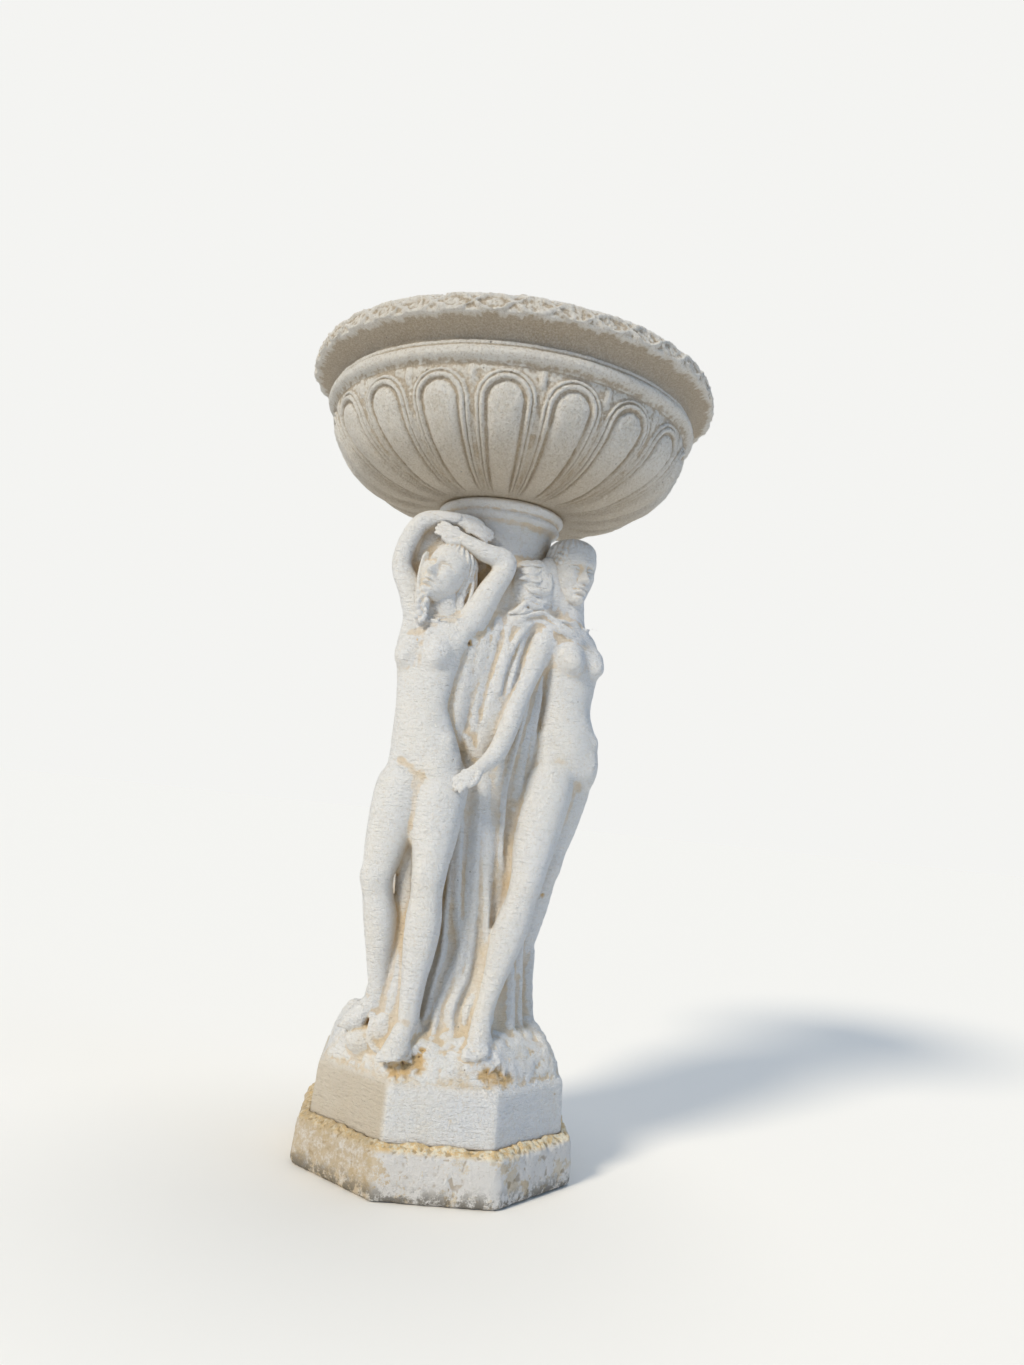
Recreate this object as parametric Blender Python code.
"""A concrete planter statue: three standing figures round a draped column on an octagonal block,
a separate octagonal plinth under it and a separate gadrooned bowl on top.

Metres, +Z up. The origin is on the floor at the middle of the plinth's underside. The front is -Y.
The figures are modelled as a clay figure is built up: limbs, trunks, heads and folds are closed
forms pressed into one another, fused by a voxel Remesh and worn soft by a Smooth modifier.
"""

import math

import bmesh
import bpy
from mathutils import Matrix, Vector

# Plinth and block
PLINTH_FLATS = 0.314
PLINTH_HEIGHT = 0.053
PLINTH_DRAFT = 0.003
BLOCK_FLATS = 0.283
BLOCK_HEIGHT = 0.059
BLOCK_DRAFT = 0.0035
EDGE_WEAR = 0.004
JOINT_GAP = 0.0003

# Figure group, from the block's top to the seat of the bowl
GROUP_HEIGHT = 0.663
MOUND_INSET = 0.006
MOUND_RISE = 0.044

# Column that the figures stand against
SHAFT_RADIUS = 0.066
COLLAR_RADIUS = 0.079
COLLAR_HEIGHT = 0.020
DRAPE_RADIUS = 0.090

# Bowl
BOWL_SEAT_RADIUS = 0.074
BOWL_RADIUS = 0.226
BOWL_HEIGHT = 0.171
BEAD_HEIGHT = 0.112
BEAD_RADIUS = 0.006
LIP_RADIUS = 0.250
LIP_HEIGHT = 0.143
RIM_TOP_RADIUS = 0.242
RIM_WIDTH = 0.030
BOWL_WALL = 0.026
BOWL_FLOOR = 0.034
LOBES = 18
LOBE_TURN = -5.4
LOBE_RELIEF = 0.0065
LOBE_ROWS = (0.0, 0.2, 0.44, 0.66, 0.79, 0.87, 0.94, 1.0)
ARCH_SPRING = 0.70

# How finely the carved group is fused, and how much of its mesh is kept
CARVING_GRAIN = 0.0040
CARVING_WEAR = 3
CARVING_KEPT = 0.034

BLOCK_TOP = PLINTH_HEIGHT + JOINT_GAP + BLOCK_HEIGHT
COLUMN_TOP = BLOCK_TOP + GROUP_HEIGHT
BOWL_BASE = COLUMN_TOP + JOINT_GAP

# The pose is set out in points: one point is a millimetre at the designed group height.
DESIGN_POINTS = 663
POINT = GROUP_HEIGHT / DESIGN_POINTS
THIRD_TURN = math.tau / 3


# Poses: places are (right, back, up) in points from the column's axis at the block's top,
# and turns are degrees that a part of the body faces to the viewer's right of straight forwards.
REACHING = {
    "hips_turn": -30,
    "chest_turn": -28,
    "face_turn": -32,
    "face_lift": 14,
    "face_lean": 12,
    "pelvis": (-60, -88, 346),
    "waist": (-70, -86, 403),
    "chest": (-69, -80, 462),
    "neck": (-61, -75, 512),
    "head": (-62, -80, 566),
    "arms": {
        "right": [(-92, -72, 500), (-115, -74, 572), (-104, -76, 612), (-73, -78, 634), (-36, -76, 625)],
        "left": [(-26, -72, 502), (9, -68, 583), (-24, -82, 596), (-56, -94, 608), (-84, -96, 611)],
    },
    "legs": {
        "right": [(-80, -84, 322), (-97, -104, 208), (-79, -88, 84), (-108, -104, 50)],
        "left": [(-38, -92, 330), (-41, -121, 215), (-46, -112, 62), (-54, -130, 30)],
    },
}
STEPPING = {
    "hips_turn": 16,
    "chest_turn": 38,
    "face_turn": 30,
    "face_lift": -3,
    "face_lean": 0,
    "pelvis": (104, -40, 367),
    "waist": (101, -36, 423),
    "chest": (102, -34, 482),
    "neck": (96, -34, 530),
    "head": (93, -40, 590),
    "arms": {
        "right": [(66, -52, 513), (43, -74, 435), (21, -103, 363), (-4, -118, 336), (-22, -124, 318)],
        "left": [(122, -8, 512), (128, 14, 440), (112, 30, 366), (104, 36, 345), (98, 40, 326)],
    },
    "legs": {
        "right": [(88, -52, 343), (70, -85, 216), (36, -94, 74), (31, -124, 38)],
        "left": [(114, -24, 348), (97, -30, 238), (66, -20, 75), (104, -42, 46)],
    },
}

# Girths in points: half widths of the limbs from top to bottom
LEG_GIRTHS = (32, 30, 20.5, 21, 13, 11.5)
ARM_GIRTHS = (20, 15.5, 12.5, 13, 8.5)
# Trunk sections from hips to neck: half width, half depth in front, half depth behind
TRUNK = (
    ("pelvis", -0.42, 38, 28, 29),
    ("pelvis", 0.0, 44, 30, 31),
    ("pelvis", 0.5, 39, 28, 26),
    ("waist", 0.0, 34, 25, 21),
    ("waist", 0.55, 37, 26, 22),
    ("chest", 0.0, 43, 27, 25),
    ("chest", 0.6, 42, 22, 22),
    ("neck", -0.2, 28, 15, 17),
    ("neck", 0.25, 15, 13, 14),
    ("neck", 0.7, 13, 12, 13),
)

# Folds of the cloth that hangs between one figure and the next: (turn in degrees, height in points)
# from top to bottom, then the ridge's half width at its middle.
FOLDS = (
    (((14, 575), (10, 520), (5, 470), (-1, 410), (-3, 352)), 7),
    (((-8, 480), (-15, 440), (-13, 400), (-3, 350)), 6),
    (((8, 458), (2, 420), (2, 385), (3, 352)), 5),
    (((30, 522), (17, 490), (12, 450), (9, 400), (8, 355)), 6),
    (((38, 440), (30, 393), (24, 346), (25, 290), (31, 240), (36, 225)), 6),
    (((46, 440), (38, 383), (37, 320), (38, 250)), 6),
    (((-2, 320), (1, 240), (8, 173), (4, 119), (-5, 50)), 8),
    (((-11, 270), (-10, 197), (-8, 144), (-13, 90), (-21, 42)), 7),
    (((17, 300), (16, 220), (18, 160), (14, 105), (2, 42)), 8),
    (((-42, 260), (-39, 164), (-36, 100), (-42, 50)), 7),
    (((62, 300), (58, 200), (50, 110), (46, 45)), 7),
    (((74, 300), (76, 200), (72, 110), (70, 45)), 7),
)
# Rocks in the ground: (turn in degrees, distance from the axis, height, size) in points
ROCKS = (
    (-52, 98, 18, 36), (-26, 100, 15, 34), (-8, 98, 20, 32), (12, 104, 10, 34), (34, 98, 16, 38),
    (58, 104, 14, 34), (80, 100, 22, 36), (104, 98, 12, 38), (128, 102, 18, 34), (150, 98, 14, 38),
    (174, 100, 22, 36), (198, 100, 12, 36), (222, 98, 20, 34), (246, 102, 12, 38), (270, 98, 20, 36),
    (290, 102, 14, 34),
)
# The cloth's outline: (height in points, share of its radius)
DRAPE_OUTLINE = ((-20, 1.20), (40, 1.12), (150, 1.02), (260, 1.0), (400, 1.0), (480, 0.95), (560, 0.8))
HAIR_WAVES = (
    (((64, 592), (50, 580), (42, 566), (34, 570)), 5),
    (((62, 572), (46, 552), (34, 545), (26, 552)), 5),
    (((60, 552), (44, 536), (32, 530), (22, 520)), 5),
)


def lerp(a, b, share):
    return tuple(p + (q - p) * share for p, q in zip(a, b))


def between(p, q, r, s, t):
    """The Catmull-Rom value a share t of the way from q to r."""
    curve = (3 * q - p - 3 * r + s) * t**3 + (2 * p - 5 * q + 4 * r - s) * t**2
    return 0.5 * (curve + (r - p) * t + 2 * q)


def spline(stations, steps):
    """Points of a Catmull-Rom curve through stations of any size, ends included."""
    padded = [stations[0], *stations, stations[-1]]
    path = []
    for a, b, c, d in zip(padded, padded[1:], padded[2:], padded[3:]):
        for step in range(steps):
            t = step / steps
            path.append(tuple(between(*four, t) for four in zip(a, b, c, d)))
    path.append(tuple(float(x) for x in stations[-1]))
    return path


def skin(bm, rings):
    """A closed skin over rings of points, capped at both ends."""
    rows = [[bm.verts.new(point) for point in ring] for ring in rings]
    around = len(rows[0])
    for low, high in zip(rows, rows[1:]):
        for i in range(around):
            j = (i + 1) % around
            bm.faces.new((low[i], low[j], high[j], high[i]))
    bm.faces.new(rows[0][::-1])
    bm.faces.new(rows[-1])


def rounded_ends(path):
    """The stations (x, y, z, radius) of a tube with a dome added at each end."""
    ends = []
    for end, inner in ((path[0], path[1]), (path[-1], path[-2])):
        out = (Vector(end[:3]) - Vector(inner[:3])).normalized()
        dome = []
        for lift in (0.45, 0.8, 0.97):
            centre = Vector(end[:3]) + out * end[3] * lift
            dome.append((*centre, end[3] * math.sqrt(1 - lift * lift)))
        ends.append(dome)
    return ends[0][::-1] + path + ends[1]


def tube(bm, stations, sides=12, steps=4, flat=1.0, flat_axis=(0, 0, 1)):
    """A tapering tube through stations (x, y, z, radius) in points. flat thins it along flat_axis."""
    path = rounded_ends(spline(stations, steps))
    centres = [Vector(p[:3]) for p in path]
    side = Vector((0.31, 0.92, 0.23))
    rings = []
    for i, (*_, radius) in enumerate(path):
        along = centres[min(i + 1, len(path) - 1)] - centres[max(i - 1, 0)]
        across = along.cross(side).normalized()
        side = across.cross(along).normalized()
        ring = []
        for k in range(sides):
            angle = math.tau * k / sides
            offset = (across * math.cos(angle) + side * math.sin(angle)) * radius
            thin = Vector(flat_axis).normalized()
            offset -= thin * offset.dot(thin) * (1 - flat)
            ring.append((centres[i] + offset) * POINT)
        rings.append(ring)
    skin(bm, rings)


def blob(bm, centre, radii, turn=0.0, tilt=0.0, rings=10):
    """An ellipsoid at centre, in points, turned about +Z and tilted about its own side axis."""
    place = (
        Matrix.Translation(Vector(centre) * POINT)
        @ Matrix.Rotation(math.radians(turn), 4, "Z")
        @ Matrix.Rotation(math.radians(tilt), 4, "X")
        @ Matrix.Diagonal((*(r * POINT for r in radii), 1))
    )
    bmesh.ops.create_uvsphere(bm, u_segments=2 * rings, v_segments=rings, radius=1, matrix=place)


def facing(turn):
    """(forwards, left) unit vectors of something that faces turn degrees to the viewer's right."""
    angle = math.radians(turn)
    forwards = Vector((math.sin(angle), -math.cos(angle), 0))
    return forwards, Vector((math.cos(angle), math.sin(angle), 0))


def trunk(bm, pose, sides=20):
    """Hips, waist, chest and neck as one skin of egg-shaped sections."""
    chain = ["pelvis", "waist", "chest", "neck", "head"]
    turns = {"pelvis": pose["hips_turn"], "waist": (pose["hips_turn"] + pose["chest_turn"]) / 2}
    stations = []
    for name, share, width, front, back in TRUNK:
        at = chain.index(name)
        here, turn = pose[name], turns.get(name, pose["chest_turn"])
        beyond = pose[chain[at + 1]]
        centre = lerp(here, beyond, share)
        stations.append((*centre, turn, width, front, back))
    rings = []
    for x, y, z, turn, width, front, back in spline(stations, 3):
        forwards, left = facing(turn)
        ring = []
        for k in range(sides):
            angle = math.tau * k / sides
            depth = front if math.sin(angle) > 0 else back
            offset = left * width * math.cos(angle) + forwards * depth * math.sin(angle)
            ring.append((Vector((x, y, z)) + offset) * POINT)
        rings.append(ring)
    skin(bm, rings)


def bosom_and_seat(bm, pose):
    forwards, left = facing(pose["chest_turn"])
    chest = Vector(pose["chest"])
    for side in (-1, 1):
        breast = chest + forwards * 21 + left * side * 18 + Vector((0, 0, -3))
        blob(bm, breast, (15, 13, 15), turn=pose["chest_turn"])
    forwards, left = facing(pose["hips_turn"])
    pelvis = Vector(pose["pelvis"])
    for side in (-1, 1):
        seat = pelvis - forwards * 15 + left * side * 16 + Vector((0, 0, -14))
        blob(bm, seat, (19, 18, 22), turn=pose["hips_turn"])
    blob(bm, pelvis + forwards * 12 + Vector((0, 0, 6)), (25, 16, 28), turn=pose["hips_turn"])


def leg(bm, joints):
    """Thigh, knee, calf and foot from the hip, knee, ankle and toe."""
    hip, knee, ankle, toe = (Vector(j) for j in joints)
    thigh = hip.lerp(knee, 0.42)
    calf = knee.lerp(ankle, 0.32) + Vector((math.copysign(4, hip.x), 5, 0))
    shin = knee.lerp(ankle, 0.72) + Vector((0, 2, 0))
    places = (hip, thigh, knee, calf, shin, ankle)
    tube(bm, [(*p, girth) for p, girth in zip(places, LEG_GIRTHS)], sides=14)
    along = (toe - ankle).normalized()
    heel = ankle - along * 7 + Vector((0, 0, -12))
    instep = ankle.lerp(toe, 0.45) + Vector((0, 0, -3))
    tube(bm, [(*heel, 9), (*instep, 10), (*toe, 8)], flat=0.8)


def arm(bm, joints):
    """Upper arm, forearm and a mitten of a hand through shoulder, elbow, forearm, wrist and fingertips."""
    shoulder, elbow, middle, wrist, tips = (Vector(j) for j in joints)
    upper = shoulder.lerp(elbow, 0.5)
    places = (shoulder, upper, elbow, middle, wrist)
    tube(bm, [(*p, girth) for p, girth in zip(places, ARM_GIRTHS)])
    palm = wrist.lerp(tips, 0.45)
    tube(bm, [(*wrist, 7), (*palm, 9.5), (*tips, 5)], flat=0.6, flat_axis=(0, 1, 0))


def head(bm, pose):
    """Skull, jaw, nose and a cap of hair, lifted and turned as the pose says."""
    place = (
        Matrix.Translation(Vector(pose["head"]) * POINT)
        @ Matrix.Rotation(math.radians(pose["face_turn"]), 4, "Z")
        @ Matrix.Rotation(math.radians(-pose["face_lift"]), 4, "X")
        @ Matrix.Rotation(math.radians(pose["face_lean"]), 4, "Y")
        @ Matrix.Scale(POINT, 4)
    )
    forms = (
        ((0, 2, 8), (25, 29, 26)),
        ((0, -9, -8), (20, 20, 27)),
        ((0, -27, -6), (3.5, 6, 8)),
        ((0, 7, 12), (28, 29, 26)),
        ((0, 16, -8), (24, 20, 24)),
    )
    nape = Vector(pose["head"])
    inwards = Vector((nape.x, nape.y, 0))
    behind = nape - inwards * 0.3 - Vector((0, 0, 8))
    far_behind = nape - inwards * 0.5 - Vector((0, 0, 16))
    tube(bm, [(*nape, 24), (*behind, 24), (*far_behind, 22)])
    for centre, radii in forms:
        matrix = place @ Matrix.Translation(centre) @ Matrix.Diagonal((*radii, 1))
        bmesh.ops.create_uvsphere(bm, u_segments=20, v_segments=12, radius=1, matrix=matrix)


def figure(bm, pose):
    trunk(bm, pose)
    bosom_and_seat(bm, pose)
    head(bm, pose)
    for side in ("right", "left"):
        leg(bm, pose["legs"][side])
        arm(bm, pose["arms"][side])


def turned(pose, turn):
    """The same pose moved round the column by turn radians."""
    spin = Matrix.Rotation(turn, 3, "Z")

    def move(value):
        if isinstance(value, dict):
            return {name: move(part) for name, part in value.items()}
        if isinstance(value, list):
            return [move(part) for part in value]
        if isinstance(value, tuple):
            return tuple(spin @ Vector(value))
        return value

    moved = move(pose)
    for name in ("hips_turn", "chest_turn", "face_turn"):
        moved[name] += math.degrees(turn)
    return moved


def drape_radius(height):
    """The cloth's radius, in points, at a height: full at the hem, close to the shaft at the heads."""
    drape = DRAPE_RADIUS / POINT
    for (low, wide), (high, narrow) in zip(DRAPE_OUTLINE, DRAPE_OUTLINE[1:]):
        if height <= high:
            share = (height - low) / (high - low)
            return drape * (wide + (narrow - wide) * max(0.0, share))
    return drape * DRAPE_OUTLINE[-1][1]


def on_drape(turn, height, radius):
    """A place, in points, at turn degrees round the column from the front."""
    angle = math.radians(turn)
    return radius * math.sin(angle), -radius * math.cos(angle), height


def drapery(bm):
    """The column's cloth, widest at the hips, with folds between each pair of figures."""
    shaft = SHAFT_RADIUS / POINT
    stations = [(height, drape_radius(height)) for height, _ in DRAPE_OUTLINE]
    stations += [(600, shaft), (DESIGN_POINTS - 20, shaft)]
    rings = []
    for height, radius in spline(stations, 3):
        turns = [360 * k / 48 for k in range(48)]
        rings.append([Vector(on_drape(turn, height, radius)) * POINT for turn in turns])
    skin(bm, rings)
    for third in range(3):
        for ridge, width in FOLDS + HAIR_WAVES:
            stations = []
            for i, (turn, height) in enumerate(ridge):
                fullness = 0.55 + 0.45 * math.sin(math.pi * i / (len(ridge) - 1))
                place = on_drape(turn + math.degrees(third * THIRD_TURN), height, drape_radius(height))
                stations.append((*place, width * fullness))
            tube(bm, stations, sides=8)


def octagon(flats, height):
    """Corners of an octagon with one side to the front."""
    radius = flats / 2 / math.cos(math.pi / 8)
    turns = [math.tau * (k + 0.5) / 8 for k in range(8)]
    return [Vector((radius * math.cos(t), radius * math.sin(t), height)) for t in turns]


def mound(bm):
    """The rising rocky ground under the feet, from the block's edge to the cloth."""
    reach = BLOCK_FLATS - 2 * BLOCK_DRAFT - 2 * MOUND_INSET
    profile = ((-0.3, 1.0), (0.05, 1.0), (0.35, 0.95), (0.6, 0.84), (0.75, 0.6))
    rings = [octagon(reach * share, BLOCK_TOP + MOUND_RISE * rise) for rise, share in profile]
    skin(bm, rings)
    for k, (turn, out, height, size) in enumerate(ROCKS):
        place = Vector(on_drape(turn, height, out)) + Vector((0, 0, BLOCK_TOP / POINT))
        blob(bm, place, (size, size * 0.8, size * 0.6), turn=k * 47)


def finished_mesh(bm, name):
    bmesh.ops.recalc_face_normals(bm, faces=bm.faces)
    mesh = bpy.data.meshes.new(name)
    bm.to_mesh(mesh)
    bm.free()
    part = bpy.data.objects.new(name, mesh)
    bpy.context.scene.collection.objects.link(part)
    return part


def finish(part, colour, roughness):
    """A concrete material of its own for one piece."""
    material = bpy.data.materials.new(part.name)
    material.use_nodes = True
    shader = material.node_tree.nodes["Principled BSDF"]
    shader.inputs["Base Color"].default_value = (*colour, 1)
    shader.inputs["Roughness"].default_value = roughness
    shader.inputs["Metallic"].default_value = 0
    part.data.materials.append(material)


def helper(part):
    part.hide_render = True
    part.display_type = "WIRE"
    return part


def octagonal_slab(name, flats, draft, low, high):
    """An octagonal slab with worn edges whose top is narrower than its foot by draft a side."""
    bm = bmesh.new()
    skin(bm, [octagon(flats, low), octagon(flats - 2 * draft, high)])
    slab = finished_mesh(bm, name)
    bevel = slab.modifiers.new("worn_edges", "BEVEL")
    bevel.width = EDGE_WEAR
    bevel.segments = 2
    return slab


def base_plinth():
    plinth = octagonal_slab("base_plinth", PLINTH_FLATS, PLINTH_DRAFT, 0, PLINTH_HEIGHT)
    finish(plinth, (0.66, 0.58, 0.47), 0.9)


def fuse(part, tool):
    join = part.modifiers.new(tool.name, "BOOLEAN")
    join.operation = "UNION"
    join.object = tool


def figure_pedestal():
    """The block, ground, cloth, column and three figures, which are one casting."""
    bm = bmesh.new()
    figure(bm, REACHING)
    figure(bm, STEPPING)
    figure(bm, turned(STEPPING, THIRD_TURN))
    drapery(bm)
    for part in bm.verts:
        part.co.z += BLOCK_TOP
    mound(bm)
    group = finished_mesh(bm, "figure_pedestal")
    fused = group.modifiers.new("fused", "REMESH")
    fused.mode = "VOXEL"
    fused.voxel_size = CARVING_GRAIN
    worn = group.modifiers.new("worn", "SMOOTH")
    worn.factor = 0.5
    worn.iterations = CARVING_WEAR
    kept = group.modifiers.new("kept", "DECIMATE")
    kept.ratio = CARVING_KEPT
    kept.use_collapse_triangulate = True
    block_low = PLINTH_HEIGHT + JOINT_GAP
    fuse(group, helper(octagonal_slab("block_form", BLOCK_FLATS, BLOCK_DRAFT, block_low, BLOCK_TOP)))
    fuse(group, helper(collar()))
    finish(group, (0.82, 0.79, 0.72), 0.75)


def turning(name, profile, steps):
    """A closed turned solid: profile is (radius, height) from the bottom of the axis to its top."""
    bm = bmesh.new()
    rings = []
    for radius, height in profile:
        turns = [math.tau * k / steps for k in range(steps)]
        rings.append([Vector((radius * math.cos(t), radius * math.sin(t), height)) for t in turns])
    skin(bm, rings)
    return finished_mesh(bm, name)


def collar():
    """The plain top of the shaft and its ring, which the bowl rests on."""
    low = COLUMN_TOP - COLLAR_HEIGHT
    shares = ((-2.0, 0.80), (0.0, 0.84), (0.15, 0.96), (0.5, 1.0), (0.8, 0.97), (1.0, 0.94))
    profile = [(COLLAR_RADIUS * wide, low + COLLAR_HEIGHT * up) for up, wide in shares]
    return turning("collar_form", profile, 40)


def lobe_relief(turn, way):
    """How far the bowl's skin stands out at a turn round it and a share of the way up its carved part.

    Each lobe is a raised tongue inside a groove, with a raised arch round it.
    """
    from_front = turn + math.pi / 2 - math.radians(LOBE_TURN)
    across = abs((from_front * LOBES / math.tau + 0.5) % 1 - 0.5) * 2
    over = max(0.0, way - ARCH_SPRING) / (1 - ARCH_SPRING)
    reach = math.hypot(across, over)
    fade = min(1.0, way / 0.2)
    if reach < 0.48:
        return LOBE_RELIEF * fade * (0.5 + 0.5 * math.cos(reach / 0.48 * math.pi / 2))
    if 0.62 < reach < 0.95:
        return LOBE_RELIEF * fade * 0.7
    return 0.0


def carved_body():
    """The bowl's lower body, a quarter of an ellipse in section, with its lobes, up to the bead."""
    tall = BEAD_HEIGHT - 2 * BEAD_RADIUS
    wide = BOWL_RADIUS - LOBE_RELIEF - BOWL_SEAT_RADIUS
    steps = LOBES * 8
    rings = []
    for way in LOBE_ROWS:
        swing = way * math.pi / 2
        radius = BOWL_SEAT_RADIUS + wide * math.sin(swing)
        height = tall * (1 - math.cos(swing))
        slope = math.atan2(wide * math.cos(swing), tall * math.sin(swing))
        ring = []
        for k in range(steps):
            turn = math.tau * k / steps - math.pi / 2 + math.radians(LOBE_TURN)
            relief = lobe_relief(turn, way)
            out = radius + relief * math.cos(slope)
            up = max(height - relief * math.sin(slope), 0.0)
            ring.append(Vector((out * math.cos(turn), out * math.sin(turn), BOWL_BASE + up)))
        rings.append(ring)
    bm = bmesh.new()
    skin(bm, rings)
    return finished_mesh(bm, "planter_bowl")


def bowl_rim():
    """Bead, cove and rolled rim, turned round the bowl's axis."""
    profile = (
        (BOWL_RADIUS - BOWL_WALL / 2, BEAD_HEIGHT - 3 * BEAD_RADIUS),
        (BOWL_RADIUS - BEAD_RADIUS / 2, BEAD_HEIGHT - 1.5 * BEAD_RADIUS),
        (BOWL_RADIUS + BEAD_RADIUS, BEAD_HEIGHT - BEAD_RADIUS / 2),
        (BOWL_RADIUS + BEAD_RADIUS, BEAD_HEIGHT + BEAD_RADIUS / 2),
        (BOWL_RADIUS - BEAD_RADIUS / 2, BEAD_HEIGHT + 1.5 * BEAD_RADIUS),
        (BOWL_RADIUS + BEAD_RADIUS / 2, (BEAD_HEIGHT + LIP_HEIGHT) / 2 + BEAD_RADIUS),
        (LIP_RADIUS, LIP_HEIGHT),
        (LIP_RADIUS, LIP_HEIGHT + BEAD_RADIUS),
        (RIM_TOP_RADIUS, BOWL_HEIGHT),
    )
    return turning("rim_form", [(radius, BOWL_BASE + height) for radius, height in profile], LOBES * 3)


def planter_bowl():
    """The bowl: its carved body and its rim in one, hollowed by a turned cutter."""
    bowl = carved_body()
    fuse(bowl, helper(bowl_rim()))
    hollow = bowl.modifiers.new("hollow", "BOOLEAN")
    hollow.operation = "DIFFERENCE"
    hollow.object = helper(bowl_hollow())
    finish(bowl, (0.72, 0.66, 0.58), 0.85)


def bowl_hollow():
    """The space inside the bowl, which runs on past the rim."""
    mouth = RIM_TOP_RADIUS - RIM_WIDTH
    wide = BOWL_RADIUS - BOWL_WALL
    deep = BEAD_HEIGHT - BOWL_FLOOR
    profile = []
    for step in range(7):
        swing = math.pi / 2 * step / 6
        radius = BOWL_SEAT_RADIUS * 0.6 + (wide - BOWL_SEAT_RADIUS * 0.6) * math.sin(swing)
        profile.append((radius, BOWL_BASE + BOWL_FLOOR + deep * (1 - math.cos(swing))))
    profile.append((mouth, BOWL_BASE + BOWL_HEIGHT))
    profile.append((mouth, BOWL_BASE + BOWL_HEIGHT + BEAD_RADIUS))
    return turning("bowl_hollow", profile, LOBES * 2)


def main():
    for old in list(bpy.data.objects):
        bpy.data.objects.remove(old)
    base_plinth()
    figure_pedestal()
    planter_bowl()


main()
